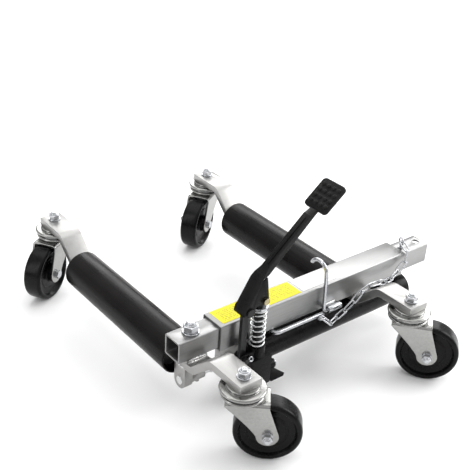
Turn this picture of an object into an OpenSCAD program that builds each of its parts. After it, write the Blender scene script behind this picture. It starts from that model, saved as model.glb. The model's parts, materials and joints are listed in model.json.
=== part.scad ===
// Hydraulic wheel dolly: a telescoping beam draws two rollers together under a tyre.
// Millimetres, +Z up, +X along the beam, +Y along the rollers, floor at Z = 0.

/* [Beam] */
// Side of the outer square tube
outer_side = 50; // [48:1:56]
// Wall of the outer square tube
outer_wall = 4.5; // [4:0.5:4.5]
// Length of the outer square tube
outer_length = 446; // [430:1:450]
// Side of the inner square tube
inner_side = 40; // [38:1:40]
// Wall of the inner square tube
inner_wall = 3; // [2:0.5:4]
// Length of the inner square tube
inner_length = 600; // [590:1:620]
// Height of the beam's centre line above the floor
beam_z = 134.5; // [134:0.5:136]

/* [Rollers and axle bars] */
// Distance between the two roller axes
roller_spacing = 381; // [375:1:390]
// Outer diameter of a roller
roller_d = 75; // [70:1:76]
// Wall of a roller
roller_wall = 3.5; // [2.5:0.5:4]
// Length of a roller
roller_length = 331; // [300:1:335]
// Height of the roller axes
roller_z = 91; // [90:0.5:92]
// Width of a flat axle bar
bar_width = 43; // [40:1:45]
// Thickness of a flat axle bar
bar_thick = 14; // [12:1:14]

/* [Casters] */
// Diameter of a caster wheel
wheel_d = 112; // [100:1:112]
// Width of a caster wheel
wheel_width = 37; // [30:1:38]
// Distance from a kingpin to its wheel's axle
caster_trail = 44; // [40:1:46]
// Height of the caster plates' top
plate_top = 153.5; // [153:0.5:156]
// Direction in which the near left wheel trails
near_left_angle = -41; // [-60:1:-20]
// Direction in which the near right wheel trails
near_right_angle = -50; // [-60:1:-20]
// Direction in which the far left wheel trails
far_left_angle = 211; // [190:1:230]
// Direction in which the far right wheel trails
far_right_angle = 210; // [190:1:230]

/* [Pump and pedal] */
// Diameter of the hydraulic barrel
barrel_d = 53; // [50:1:53]
// Diameter of the piston rod
rod_d = 20; // [16:1:22]
// Height of the hydraulic cylinder's axis
cylinder_z = 62; // [60:0.5:63]
// Angle of the raised pedal above the beam
pedal_angle = 46; // [40:1:50]
// Outer diameter of the plunger spring
spring_d = 28.4; // [27:0.2:30]
// Number of turns of the plunger spring
spring_turns = 8; // [6:1:9]

/* [Hidden] */
$fn = 64;
cut = 1;                      // overshoot of every cutting tool
run = 0.06;                   // radial clearance of a running fit

// Beam
outer_x = 44.5;               // left end of the outer tube
inner_x = -37;                // left end of the inner tube
outer_end = outer_x + outer_length;
inner_end = inner_x + inner_length;
beam_bottom = beam_z - outer_side / 2;
beam_top = beam_z + outer_side / 2;
inner_top = beam_z + inner_side / 2;
inner_bottom = beam_z - inner_side / 2;
beam_side = outer_side / 2;
stud_r = 8;
stud_washer_r = 15;
hex_ratio = 1 / cos(30);      // corner radius over half the width across flats
spare_hole_x = inner_end - 15;
spare_hole_r = 7;
lock_x = 505;
lock_r = 2.5;

// Rollers and bars
roller_start = 27;
roller_end = roller_start + roller_length;
roller_bore_r = roller_d / 2 - roller_wall;
bar_top = beam_bottom;
bar_bottom = bar_top - bar_thick;
bar_foot_near = -33;          // where a bar starts to rise
bar_bend_near = -81;          // where it has reached the plate's height
near_pivot_y = -140;
bar_foot_far = roller_end;
bar_bend_far = 404;
far_pivot_y = 464;
plate_overhang = 19;
bend_r = 20;
bend_steps = 8;
bush_width = 18;
bush_inset = 24;
kingpin_r = 6;

// Casters
wheel_r = wheel_d / 2;
wheel_round = 6;
axle_r = 5;
axle_flats = 15;
axle_washer_r = 9;
bush_r = 9;
plate_bottom = plate_top - bar_thick;
race_r = 38.5;
race_boss_r = 27;
race_boss_h = 4;
race_h = 7;
race_z = plate_bottom - race_boss_h - race_h;
swivel_h = 9;
swivel_r = 36;
swivel_z = race_z - 1 - swivel_h;
fork_top = swivel_z;
fork_sheet = 4;
fork_gap = wheel_width + 6;
fork_end_r = 18;
fork_front = -27;
fork_rear = 44;
fork_front_z = fork_top - 12;
fork_rear_z = fork_top - 8;

// Every caster: pivot x, pivot y, trailing angle
near_left = [0, near_pivot_y, near_left_angle];
near_right = [roller_spacing, near_pivot_y, near_right_angle];
far_left = [0, far_pivot_y, far_left_angle];
far_right = [roller_spacing, far_pivot_y, far_right_angle];

// Reach of a trailing wheel from its pivot along a direction
function wheel_reach(turn) =
    caster_trail * cos(turn) + (wheel_r - wheel_round) * abs(cos(turn))
    + (wheel_width / 2 - wheel_round) * abs(sin(turn)) + wheel_round;

// Middle of the whole dolly's box, which becomes the origin
low_x = -wheel_reach(far_left_angle - 180);
low_y = near_pivot_y - wheel_reach(near_right_angle + 90);
centre_x = (low_x + inner_end) / 2;
centre_y = (low_y + far_pivot_y + race_r) / 2;

// Hydraulic cylinder
barrel_start = 130;
barrel_length = 359;
barrel_wall = 4;
cap_length = 31;
cap_step = 8;
block_start = 88;
block_near = -62;
block_far = 29;
block_bottom = 32;
block_top = 92;
flange_start = 77;
rod_shoulder = 44;
rod_stud_r = 8;
lug_start = -21;
lug_thick = 18;
lug_r = 15;
coupling_r = 12;
gland_r = 14;
piston_x = 434;
piston_length = 24;

// Pump, link and pedal
pump_y = -45;
plunger_x = 107;
plunger_r = 8;
tower_r = 15.5;
tower_top = 113;
pivot_x = 75;
pivot_z = 197;
link_foot_z = 98.5;
link_half_width = 6;
link_half_thick = 3.5;
link_pin_r = 5;
ear_gap = 4;                  // half the slot that the link bar stands in
ear_thick = 5;
ear_r = 8.5;
arm_inner = 11;               // half the gap between the pedal's side plates
arm_sheet = 3;
arm_outer = arm_inner + arm_sheet;
arm_neck = 8;                 // half the arm's width beyond its bend
pin_u = 30.5;                 // plunger pin in the pedal's own frame
pin_w = -15;
pin_r = 4;
pin_up_angle = pedal_angle + atan2(pin_w, pin_u);
pin_reach = norm([pin_u, pin_w]);
pin_z = pivot_z + pin_reach * sin(pin_up_angle);
cap_bottom = pin_z - 19;
spring_cap_h = 4;
spring_wire = 1.7;
spring_coil_r = spring_d / 2 - spring_wire;
arm_bend_u = 60;
arm_bend_w = 23.5;
pad_length = 57;
pad_width = 51;
pad_thick = 5;
pad_u = 197;
pad_w = 2.6;
pad_tilt = 7.1;

// Release valve
release_y = -42;
release_z = 52;
release_r = 5;
release_hub_r = 9;

// Hook, rod and chain
hook_x = 272;
hook_y = -37;
hook_z = 113.5;
hook_r = 3.5;
hook_lean = 4;
hook_height = 76;
hook_curl_r = 20;
hook_curl = 150;
hook_elbow_r = 7;
sleeve_start = 281;
sleeve_end = 311;
sleeve_r = 6.5;
guide_r = 4;
guide_y = -33;
guide_z = beam_bottom - guide_r;
guide_start = 160;
guide_end = 275;
guide_elbow_r = 10;
split_x = 255.5;
split_r = 1.6;
split_tilt = 18;
link_long = 30;
link_wide = 13;
link_wire = 1.5;
link_pitch = 23.2;
label_near = -18;
label_width = 40;
label_thick = 0.4;
chain_route = [
    [503.2, -4.8, 168.2], [493.7, -28.4, 162.4], [485.3, -34, 148.7],
    [469.3, -35.1, 135.6], [445.7, -39.3, 126.8], [422.6, -46.6, 129.1],
    [401.5, -49.6, 137.8], [361.8, -47.5, 138.7], [346.7, -48.1, 125.9],
    [329.5, -48.1, 112.2], [311.6, -48.1, 103.7], [290.5, -50.5, 98.3],
    [265.3, -59.5, 99.7], [258.9, -46.7, 110.6]
];

// ---------- Helpers ----------

// Everything is drawn from the left roller's axis and moved to the origin here
module framed() {
    translate([-centre_x, -centre_y, 0])
        children();
}

module place(caster) {
    translate([caster[0], caster[1], 0])
        rotate([0, 0, caster[2]])
            children();
}

module rod_x(r, from, to) {
    translate([from, 0, 0])
        rotate([0, 90, 0])
            cylinder(r = r, h = to - from);
}

module rod_y(r, from, to) {
    translate([0, from, 0])
        rotate([-90, 0, 0])
            cylinder(r = r, h = to - from);
}

module rod_z(r, from, to) {
    translate([0, 0, from])
        cylinder(r = r, h = to - from);
}

// Hexagon standing on z = 0, sized by its width across flats
module hex(flats, h) {
    cylinder(r = flats / 2 * hex_ratio, h = h, $fn = 6);
}

// Part of a torus about the Z axis
module elbow(bend, r, turn) {
    rotate_extrude(angle = turn, $fn = 72)
        translate([bend, 0])
            circle(r = r, $fn = 24);
}

function unit(v) = v / norm(v);
function left_normal(v) = [-v[1], v[0]];
function short_turn(a) = a > 180 ? a - 360 : a < -180 ? a + 360 : a;

// Corner b between a and c, rounded to an arc
function rounded_corner(a, b, c, r, steps) =
    let (
        u = unit(a - b),
        v = unit(c - b),
        half = acos(u * v) / 2,
        centre = b + unit(u + v) * (r / sin(half)),
        from = b + u * (r / tan(half)) - centre,
        to = b + v * (r / tan(half)) - centre,
        start = atan2(from[1], from[0]),
        turn = short_turn(atan2(to[1], to[0]) - start)
    )
    [for (i = [0:steps]) centre + r * [cos(start + turn * i / steps), sin(start + turn * i / steps)]];

function rounded_path(points, r, steps) = concat(
    [points[0]],
    [for (i = [1:len(points) - 2])
        each rounded_corner(points[i - 1], points[i], points[i + 1], r, steps)],
    [points[len(points) - 1]]
);

function edge_normal(path, i) = left_normal(unit(path[i + 1] - path[i]));
function corner_normal(path, i) =
    i == 0 ? edge_normal(path, 0) :
    i == len(path) - 1 ? edge_normal(path, i - 1) :
    let (a = edge_normal(path, i - 1), m = unit(a + edge_normal(path, i))) m / (m * a);

// Outline of a strip of sheet that follows a path
function strip(path, thick) = concat(
    [for (i = [0:len(path) - 1]) path[i] + corner_normal(path, i) * thick / 2],
    [for (i = [len(path) - 1:-1:0]) path[i] - corner_normal(path, i) * thick / 2]
);

// Point of a circle where a line from p touches it, on the left (1) or right (-1)
function touch(p, centre, r, side) =
    let (d = p - centre, a = atan2(d[1], d[0]) + side * acos(r / norm(d)))
    centre + r * [cos(a), sin(a)];

// ---------- Beam ----------

module square_tube(side, wall, from, to) {
    translate([from, -side / 2, beam_z - side / 2])
        difference() {
            cube([to - from, side, side]);
            translate([-cut, wall, wall])
                cube([to - from + 2 * cut, side - 2 * wall, side - 2 * wall]);
        }
}

module outer_tube() {
    color("lightsteelblue") framed()
        square_tube(outer_side, outer_wall, outer_x, outer_end);
}

module inner_tube() {
    color("gainsboro") framed()
        difference() {
            square_tube(inner_side, inner_wall, inner_x, inner_end);
            rod_z(stud_r, inner_bottom - cut, inner_top + cut);
            translate([spare_hole_x, 0, 0])
                rod_z(spare_hole_r, inner_bottom - cut, inner_top + cut);
            translate([lock_x, 0, 0])
                rod_z(lock_r + run, inner_bottom - cut, inner_top + cut);
        }
}

module clamp_stud() {
    color("silver") framed()
        rod_z(stud_r, bar_bottom, inner_top + 21);
}

module clamp_nut() {
    washer_h = 3;
    nut_h = 12;
    collar_h = 4;
    color("silver") framed()
        difference() {
            union() {
                translate([0, 0, inner_top])
                    cylinder(r = stud_washer_r, h = washer_h);
                translate([0, 0, inner_top + washer_h])
                    hex(24, nut_h);
                translate([0, 0, inner_top + washer_h + nut_h])
                    cylinder(r = 10.5, h = collar_h);
            }
            rod_z(stud_r, inner_top - cut, inner_top + 30);
        }
}

module beam_spacer() {
    color("silver") framed()
        difference() {
            translate([-bar_width / 2, -inner_side / 2, bar_top])
                cube([bar_width, inner_side, inner_bottom - bar_top]);
            rod_z(stud_r, bar_top - cut, inner_bottom + cut);
        }
}

// ---------- Axle bars and rollers ----------

bar_corners = [
    [near_pivot_y - plate_overhang, plate_top - bar_thick / 2],
    [bar_bend_near, plate_top - bar_thick / 2],
    [bar_foot_near, bar_top - bar_thick / 2],
    [bar_foot_far, bar_top - bar_thick / 2],
    [bar_bend_far, plate_top - bar_thick / 2],
    [far_pivot_y + plate_overhang, plate_top - bar_thick / 2]
];

module axle_bar() {
    difference() {
        translate([-bar_width / 2, 0, 0])
            rotate([90, 0, 90])
                linear_extrude(bar_width)
                    polygon(strip(rounded_path(bar_corners, bend_r, bend_steps), bar_thick));
        for (y = [near_pivot_y, far_pivot_y])
            translate([0, y, 0])
                rod_z(kingpin_r, plate_bottom - cut, plate_top + cut);
    }
}

module left_axle_bar() {
    color("silver") framed()
        difference() {
            axle_bar();
            rod_z(stud_r, bar_bottom - cut, bar_top + cut);
        }
}

module right_axle_bar() {
    color("silver") framed()
        translate([roller_spacing, 0, 0])
            axle_bar();
}

module roller() {
    translate([0, 0, roller_z])
        difference() {
            rod_y(roller_d / 2, roller_start, roller_end);
            rod_y(roller_bore_r, roller_start - cut, roller_end + cut);
        }
}

module left_roller() {
    color([0.12, 0.12, 0.13]) framed()
        roller();
}

module right_roller() {
    color([0.12, 0.12, 0.13]) framed()
        translate([roller_spacing, 0, 0])
            roller();
}

// Two discs fixed on an axle bar, on which its roller turns
module roller_bushes() {
    for (y = [roller_start + bush_inset, roller_end - bush_inset - bush_width])
        difference() {
            translate([0, 0, roller_z])
                rod_y(roller_bore_r - run, y, y + bush_width);
            translate([-bar_width / 2, y - cut, bar_bottom])
                cube([bar_width, bush_width + 2 * cut, bar_thick]);
        }
}

module left_roller_bushes() {
    color("ivory") framed()
        roller_bushes();
}

module right_roller_bushes() {
    color("ivory") framed()
        translate([roller_spacing, 0, 0])
            roller_bushes();
}

// ---------- Hydraulic cylinder ----------

module on_cylinder_axis() {
    translate([0, 0, cylinder_z])
        children();
}

module cylinder_barrel() {
    color([0.08, 0.08, 0.08]) framed() on_cylinder_axis()
        difference() {
            rod_x(barrel_d / 2, barrel_start, barrel_start + barrel_length);
            rod_x(barrel_d / 2 - barrel_wall, barrel_start - cut, barrel_start + barrel_length + cut);
        }
}

module cylinder_cap() {
    from = barrel_start + barrel_length;
    color([0.08, 0.08, 0.08]) framed() on_cylinder_axis()
        union() {
            rod_x(barrel_d / 2 + 2.5, from, from + cap_length);
            rod_x(barrel_d / 2 - 8, from + cap_length, from + cap_length + cap_step);
            rod_x(barrel_d / 2 - barrel_wall, from - 6, from);
        }
}

module pump_block() {
    color([0.1, 0.1, 0.1]) framed()
        difference() {
            union() {
                translate([block_start, block_near, block_bottom])
                    cube([barrel_start - block_start, block_far - block_near, block_top - block_bottom]);
                translate([plunger_x, pump_y, 0])
                    rod_z(tower_r, block_top - cut, tower_top);
                for (side = [-1, 1])
                    translate([pivot_x, pump_y + side * (ear_gap + ear_thick / 2), link_foot_z])
                        link_ear();
            }
            on_cylinder_axis()
                rod_x(gland_r, block_start - cut, barrel_start + cut);
            translate([plunger_x, pump_y, 0])
                rod_z(plunger_r + run, block_bottom + 5, tower_top + cut);
            translate([0, release_y, release_z])
                rod_x(release_r + run, plunger_x + plunger_r + 2, barrel_start + cut);
            translate([pivot_x, 0, link_foot_z])
                rod_y(link_pin_r, pump_y - 20, pump_y + 20);
            // tapped filler hole in the far face
            translate([block_start + 24, 0, 78])
                rod_y(3, block_far - 8, block_far + cut);
        }
}

// One cheek of the slot that the link bar stands in
module link_ear() {
    reach = block_start + 8 - pivot_x;
    union() {
        rod_y(ear_r, -ear_thick / 2, ear_thick / 2);
        translate([0, -ear_thick / 2, block_top - cut - link_foot_z])
            cube([reach, ear_thick, ear_r + link_foot_z - block_top + cut]);
    }
}

module flange_plate() {
    color("silver") framed()
        difference() {
            translate([flange_start, -31, block_bottom])
                cube([block_start - flange_start, 60, beam_bottom - block_bottom]);
            on_cylinder_axis()
                rod_x(rod_d / 2 + 1, flange_start - cut, block_start + cut);
        }
}

module gland_seal() {
    color("saddlebrown") framed() on_cylinder_axis()
        difference() {
            rod_x(gland_r, block_start + 2, block_start + 14);
            rod_x(rod_d / 2 + run, block_start + 1, block_start + 15);
        }
}

module piston_rod() {
    color("whitesmoke") framed() on_cylinder_axis()
        union() {
            rod_x(rod_d / 2, rod_shoulder, piston_x + piston_length);
            rod_x(rod_stud_r, lug_start, rod_shoulder);
        }
}

module piston() {
    color("goldenrod") framed() on_cylinder_axis()
        difference() {
            rod_x(barrel_d / 2 - barrel_wall - 0.08, piston_x, piston_x + piston_length);
            rod_x(rod_d / 2, piston_x - cut, piston_x + piston_length + cut);
        }
}

// Round coupling screwed on the rod's threaded end, with a set screw below
module rod_coupling() {
    length = 29;
    from = lug_start + lug_thick;
    color("silver") framed() on_cylinder_axis()
        difference() {
            union() {
                rod_x(coupling_r, from, from + length);
                translate([from + 20, 0, 0])
                    rod_z(4, -coupling_r - 5, -rod_stud_r - 1);
            }
            rod_x(rod_stud_r, from - cut, rod_shoulder);
        }
}

module rod_lug() {
    color("silver") framed()
        difference() {
            union() {
                on_cylinder_axis()
                    rod_x(lug_r, lug_start, lug_start + lug_thick);
                translate([lug_start, -lug_r, cylinder_z])
                    cube([lug_thick, 2 * lug_r, bar_bottom - cylinder_z]);
            }
            on_cylinder_axis()
                rod_x(rod_stud_r, lug_start - cut, lug_start + lug_thick + cut);
        }
}

// ---------- Pump links, plunger and spring ----------

module link_bar() {
    color([0.16, 0.16, 0.17]) framed()
        translate([pivot_x, pump_y, 0])
            difference() {
                union() {
                    translate([-link_half_width, -link_half_thick, link_foot_z])
                        cube([2 * link_half_width, 2 * link_half_thick, pivot_z - link_foot_z]);
                    for (z = [link_foot_z, pivot_z])
                        translate([0, 0, z])
                            rod_y(link_half_width, -link_half_thick, link_half_thick);
                }
                for (z = [link_foot_z, pivot_z])
                    translate([0, 0, z])
                        rod_y(link_pin_r, -20, 20);
            }
}

module link_pins() {
    head_r = 7;
    head_h = 2.5;
    collar_r = 5.7;
    top_half = arm_outer + 1;
    foot_half = ear_gap + ear_thick;
    color("silver") framed()
        translate([pivot_x, pump_y, 0])
            union() {
                translate([0, 0, pivot_z]) {
                    rod_y(link_pin_r, -top_half, top_half);
                    for (side = [-1, 1])
                        translate([0, side * (top_half + head_h / 2), 0])
                            rod_y(head_r, -head_h / 2, head_h / 2);
                    // collars that keep the link bar in the middle
                    for (side = [-1, 1])
                        translate([0, side * (link_half_thick + arm_inner - 0.5) / 2, 0])
                            rod_y(collar_r, (link_half_thick - arm_inner + 0.5) / 2,
                                (arm_inner - 0.5 - link_half_thick) / 2);
                }
                translate([0, 0, link_foot_z])
                    difference() {
                        union() {
                            rod_y(link_pin_r, -foot_half - 7.5, foot_half);
                            rod_y(head_r, foot_half, foot_half + head_h);
                        }
                        translate([0, -foot_half - 4.5, 0])
                            rod_x(1.5, -10, 10);
                    }
            }
}

// Split pin through the lower link pin: two legs, one round eye
module link_cotter() {
    eye_r = 3.6;
    leg_r = 1.4;
    color("silver") framed()
        translate([pivot_x, pump_y - ear_gap - ear_thick - 4.5, link_foot_z])
            union() {
                rod_x(leg_r, -8, 7);
                translate([7 + eye_r, 0, 0])
                    rotate([60, 0, 0])
                        elbow(eye_r, leg_r, 360);
            }
}

module plunger() {
    head_half = 7;
    head_x = 9.5;
    slot_half = 2.2;
    slot_r = pin_r + 0.6;
    color([0.35, 0.35, 0.36]) framed()
        translate([plunger_x, pump_y, 0])
            difference() {
                union() {
                    rod_z(plunger_r, 66, cap_bottom + spring_cap_h + 4);
                    translate([-head_x, -head_half, cap_bottom + spring_cap_h])
                        cube([2 * head_x, 2 * head_half, pin_z + 8 - cap_bottom - spring_cap_h]);
                }
                // slot that lets the pin follow the pedal's arc
                for (x = [-slot_half, slot_half])
                    translate([x, 0, pin_z])
                        rod_y(slot_r, -10, 10);
                translate([-slot_half, -10, pin_z - slot_r])
                    cube([2 * slot_half, 20, 2 * slot_r]);
            }
}

// Helix as a tube of rings, one ring per step
function spring_ring(i, steps, pitch, lift, sides) =
    let (a = 360 * spring_turns * i / steps, z = lift + pitch * spring_turns * i / steps)
    [for (k = [0:sides - 1])
        let (b = 360 * k / sides, r = spring_coil_r + spring_wire * cos(b))
        [r * cos(a), r * sin(a), z + spring_wire * sin(b)]];

module helix(pitch, lift, steps, sides) {
    points = [for (i = [0:steps]) each spring_ring(i, steps, pitch, lift, sides)];
    walls = [for (i = [0:steps - 1], k = [0:sides - 1])
        let (n = (k + 1) % sides)
        [i * sides + k, (i + 1) * sides + k, (i + 1) * sides + n, i * sides + n]];
    first = [for (k = [0:sides - 1]) k];
    last = [for (k = [sides - 1:-1:0]) steps * sides + k];
    polyhedron(points = points, faces = concat([first], walls, [last]));
}

module plunger_spring() {
    gap = 0.3;
    low = tower_top + spring_wire + gap;
    high = cap_bottom - spring_wire - gap;
    color("gainsboro") framed()
        translate([plunger_x, pump_y, 0])
            helix((high - low) / spring_turns, low, 20 * spring_turns, 8);
}

module spring_cap() {
    color("silver") framed()
        translate([plunger_x, pump_y, 0])
            difference() {
                rod_z(spring_d / 2 + 0.8, cap_bottom, cap_bottom + spring_cap_h);
                rod_z(plunger_r, cap_bottom - cut, cap_bottom + spring_cap_h + cut);
            }
}

// ---------- Pedal ----------

// The pedal's own frame: u along the folded arm, w up, turned up to its raised angle
module pedal_frame() {
    translate([pivot_x, pump_y, pivot_z])
        rotate([0, -pedal_angle, 0])
            children();
}

module side_plate() {
    rotate([90, 0, 0])
        linear_extrude(arm_sheet, center = true)
            difference() {
                union() {
                    circle(r = 9);
                    translate([pin_u, pin_w])
                        circle(r = 7.5);
                    polygon([
                        [-9, 4], [-6, 7.5], [arm_bend_u - 8, arm_bend_w - 4],
                        [arm_bend_u + 3, arm_bend_w - 8], [pin_u + 6, pin_w - 4.5],
                        [pin_u - 7, pin_w - 2], [pin_u - 13, pin_w + 8], [8, -4]
                    ]);
                }
                circle(r = link_pin_r + run);
                translate([pin_u, pin_w])
                    circle(r = pin_r);
            }
}

// Sheet bent over the side plates' tops, narrowing beyond the bend
module arm_web() {
    web = 4;
    path = rounded_path(
        [[-11, 3], [-7, 6.8], [arm_bend_u, arm_bend_w - web / 2], [pad_u - 12, 11]], 4, 6
    );
    intersection() {
        rotate([90, 0, 0])
            linear_extrude(2 * arm_outer, center = true)
                polygon(strip(path, web));
        translate([0, 0, -10])
            linear_extrude(60)
                polygon([
                    [-20, -arm_outer], [arm_bend_u - 10, -arm_outer], [arm_bend_u + 14, -arm_neck],
                    [pad_u, -arm_neck], [pad_u, arm_neck], [arm_bend_u + 14, arm_neck],
                    [arm_bend_u - 10, arm_outer], [-20, arm_outer]
                ]);
    }
}

module pedal_arm() {
    tilt = [sin(pad_tilt), cos(pad_tilt)];
    pad_root = [pad_u, pad_w];
    color([0.07, 0.07, 0.07]) framed() pedal_frame()
        union() {
            for (side = [-1, 1])
                translate([0, side * (arm_inner + arm_sheet / 2), 0])
                    side_plate();
            arm_web();
            // solid outer arm, ending on the pad's root
            rotate([90, 0, 0])
                linear_extrude(2 * arm_neck, center = true)
                    polygon([
                        [arm_bend_u - 6, arm_bend_w - 6], [arm_bend_u + 2, arm_bend_w - 2],
                        [pad_u - 12, 12], pad_root + pad_thick * tilt, pad_root,
                        [arm_bend_u + 10, 9.5], [arm_bend_u, 12]
                    ]);
            // raised rib along the arm's top
            rotate([90, 0, 0])
                linear_extrude(5, center = true)
                    polygon([
                        [arm_bend_u + 16, 20], [arm_bend_u + 22, 24], [pad_u - 20, 15.2],
                        [pad_u - 14, 12], [pad_u - 16, 10]
                    ]);
        }
}

module pedal_pad() {
    corner = 7;
    stud_rows = 4;
    stud_columns = 4;
    stud_step = 11.5;
    color([0.09, 0.09, 0.09]) framed() pedal_frame()
        translate([pad_u, 0, pad_w])
            rotate([0, pad_tilt, 0])
                union() {
                    linear_extrude(pad_thick)
                        union() {
                            translate([corner, -pad_width / 2])
                                square([pad_length - 2 * corner, pad_width]);
                            translate([0, corner - pad_width / 2])
                                square([pad_length, pad_width - 2 * corner]);
                            for (x = [corner, pad_length - corner], y = [-1, 1])
                                translate([x, y * (pad_width / 2 - corner)])
                                    circle(r = corner);
                        }
                    for (i = [0:stud_rows - 1], j = [0:stud_columns - 1])
                        translate([
                            pad_length / 2 + (i - (stud_rows - 1) / 2) * stud_step,
                            (j - (stud_columns - 1) / 2) * stud_step,
                            pad_thick
                        ])
                            cylinder(r = 3.6, h = 1.6, $fn = 24);
                }
}

module plunger_pin() {
    half = arm_outer + 2;
    color("gold") framed() pedal_frame()
        translate([pin_u, 0, pin_w])
            union() {
                rod_y(pin_r, -half, half);
                rod_y(6, -half - 2, -half);
                rod_y(6, half, half + 2);
            }
}

// ---------- Release valve ----------

module release_spindle() {
    color("silver") framed()
        translate([0, release_y, release_z])
            union() {
                rod_x(release_r, plunger_x + plunger_r + 2.5, barrel_start + 22);
                rod_x(release_r + 2, barrel_start + 22, barrel_start + 25);
            }
}

module release_pedal() {
    tread = 5;
    color([0.08, 0.08, 0.08]) framed()
        translate([0, release_y, release_z])
            difference() {
                union() {
                    rod_x(release_hub_r, barrel_start + 3, barrel_start + 22);
                    rotate([48, 0, 0])
                        linear_extrude(tread, center = true)
                            polygon([
                                [barrel_start + 4, 0], [barrel_start + 4, -12],
                                [barrel_start + 1.5, -25], [barrel_start + 5, -29],
                                [barrel_start + 31, -29], [barrel_start + 36, -25],
                                [barrel_start + 20, -10], [barrel_start + 20, 0]
                            ]);
                }
                rod_x(release_r, barrel_start, barrel_start + 30);
            }
}

// ---------- Hook, guide rod, split pin and chain ----------

module hook_sleeve() {
    color("silver") framed()
        difference() {
            union() {
                translate([0, hook_y, hook_z])
                    rod_x(sleeve_r, sleeve_start, sleeve_end);
                translate([sleeve_start, hook_y, hook_z - 4])
                    cube([sleeve_end - sleeve_start, -beam_side - hook_y, 8]);
            }
            translate([0, hook_y, hook_z])
                rod_x(hook_r + run, sleeve_start - cut, sleeve_end + cut);
        }
}

// Rod along the beam's lower edge, with a short leg under the beam
module guide_rod() {
    color("silver") framed()
        translate([0, guide_y, guide_z])
            difference() {
                union() {
                    rod_x(guide_r, guide_start + guide_elbow_r, guide_end);
                    translate([guide_start + guide_elbow_r, guide_elbow_r, 0])
                        rotate([0, 0, 180])
                            elbow(guide_elbow_r, guide_r, 90);
                    translate([guide_start, 0, 0])
                        rod_y(guide_r, guide_elbow_r, guide_elbow_r + 14);
                }
                translate([split_x, 0, 0])
                    rotate([-split_tilt, 0, 0])
                        rod_y(split_r + run, -2 * guide_r, 2 * guide_r);
            }
}

// Leg in the sleeve, upright shank and a curl over the beam
module pedal_hook() {
    color("silver") framed()
        translate([hook_x, hook_y, hook_z])
            rotate([-hook_lean, 0, 0])
                union() {
                    rod_x(hook_r, hook_elbow_r, sleeve_end + 4 - hook_x);
                    translate([hook_elbow_r, 0, hook_elbow_r])
                        rotate([90, 0, 0])
                            rotate([0, 0, 180])
                                elbow(hook_elbow_r, hook_r, 90);
                    rod_z(hook_r, hook_elbow_r, hook_height);
                    translate([0, hook_curl_r, hook_height])
                        rotate([90, 0, 90])
                            rotate([0, 0, 180 - hook_curl])
                                elbow(hook_curl_r, hook_r, hook_curl);
                }
}

// Pin through the guide rod's end: an eye in front, two spread tails behind
module split_pin() {
    eye_r = 5;
    color("silver") framed()
        translate([split_x, guide_y, guide_z])
            rotate([-split_tilt, 0, 0])
                union() {
                    rod_y(split_r, -12, 6);
                    translate([0, -12 - eye_r, 0])
                        elbow(eye_r, split_r, 360);
                }
}

// One chain link along +X
module chain_link() {
    bow = link_wide / 2 - link_wire;
    straight = link_long - link_wide;
    union() {
        for (side = [-1, 1]) {
            translate([side * straight / 2, 0, 0])
                rotate([0, 0, side > 0 ? -90 : 90])
                    elbow(bow, link_wire, 180);
            translate([0, side * bow, 0])
                rod_x(link_wire, -straight / 2, straight / 2);
        }
    }
}

// Running length of the route at each of its points
function route_lengths(route, i = 0, so_far = 0) =
    i == len(route) - 1 ? [so_far] :
    concat([so_far], route_lengths(route, i + 1, so_far + norm(route[i + 1] - route[i])));

function route_leg(lengths, s, i = 0) =
    i >= len(lengths) - 2 || lengths[i + 1] >= s ? i : route_leg(lengths, s, i + 1);

function route_point(route, lengths, s) =
    let (i = route_leg(lengths, s), t = (s - lengths[i]) / (lengths[i + 1] - lengths[i]))
    route[i] + (route[i + 1] - route[i]) * t;

module chain() {
    lengths = route_lengths(chain_route);
    total = lengths[len(lengths) - 1];
    count = round(total / link_pitch);
    step = total / count;
    color("gainsboro") framed()
        for (i = [0:count - 1]) {
            a = route_point(chain_route, lengths, i * step);
            b = route_point(chain_route, lengths, (i + 1) * step);
            d = b - a;
            translate((a + b) / 2)
                rotate([0, -asin(d[2] / norm(d)), atan2(d[1], d[0])])
                    rotate([i % 2 == 0 ? 0 : 90, 0, 0])
                        chain_link();
        }
}

// ---------- Lock pin ----------

module lock_pin() {
    color("silver") framed()
        translate([lock_x, 0, 0])
            union() {
                rod_z(lock_r, 97, inner_top + 6);
                rod_z(4.5, inner_top, inner_top + 2.5);
            }
}

module lock_ring() {
    ring_r = 7;
    ring_turn = 72.5;
    wire = 1.6;
    color("silver") framed()
        translate([lock_x, 0, inner_top + 6 + ring_r + wire - 0.5])
            rotate([90, 0, ring_turn])
                elbow(ring_r, wire, 360);
}

// ---------- Labels ----------

module label(from, to) {
    translate([from, label_near, beam_top])
        cube([to - from, label_width, label_thick]);
}

module yellow_label() {
    color("yellow") framed()
        label(54, 229);
}

module white_label() {
    color("white") framed()
        label(234, 314);
}

// ---------- Casters ----------

// Pressed race plate with a boss, fixed under its bar
module caster_race() {
    difference() {
        union() {
            rod_z(race_boss_r, race_z + race_h, plate_bottom);
            rod_z(race_r, race_z + 2.5, race_z + race_h);
            rod_z(race_r - 3, race_z, race_z + 2.5);
        }
        rod_z(kingpin_r, race_z - cut, plate_bottom + cut);
    }
}

module left_caster_races() {
    color("gainsboro") framed() {
        place(near_left)
            caster_race();
        place(far_left)
            caster_race();
    }
}

module right_caster_races() {
    color("gainsboro") framed() {
        place(near_right)
            caster_race();
        place(far_right)
            caster_race();
    }
}

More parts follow.
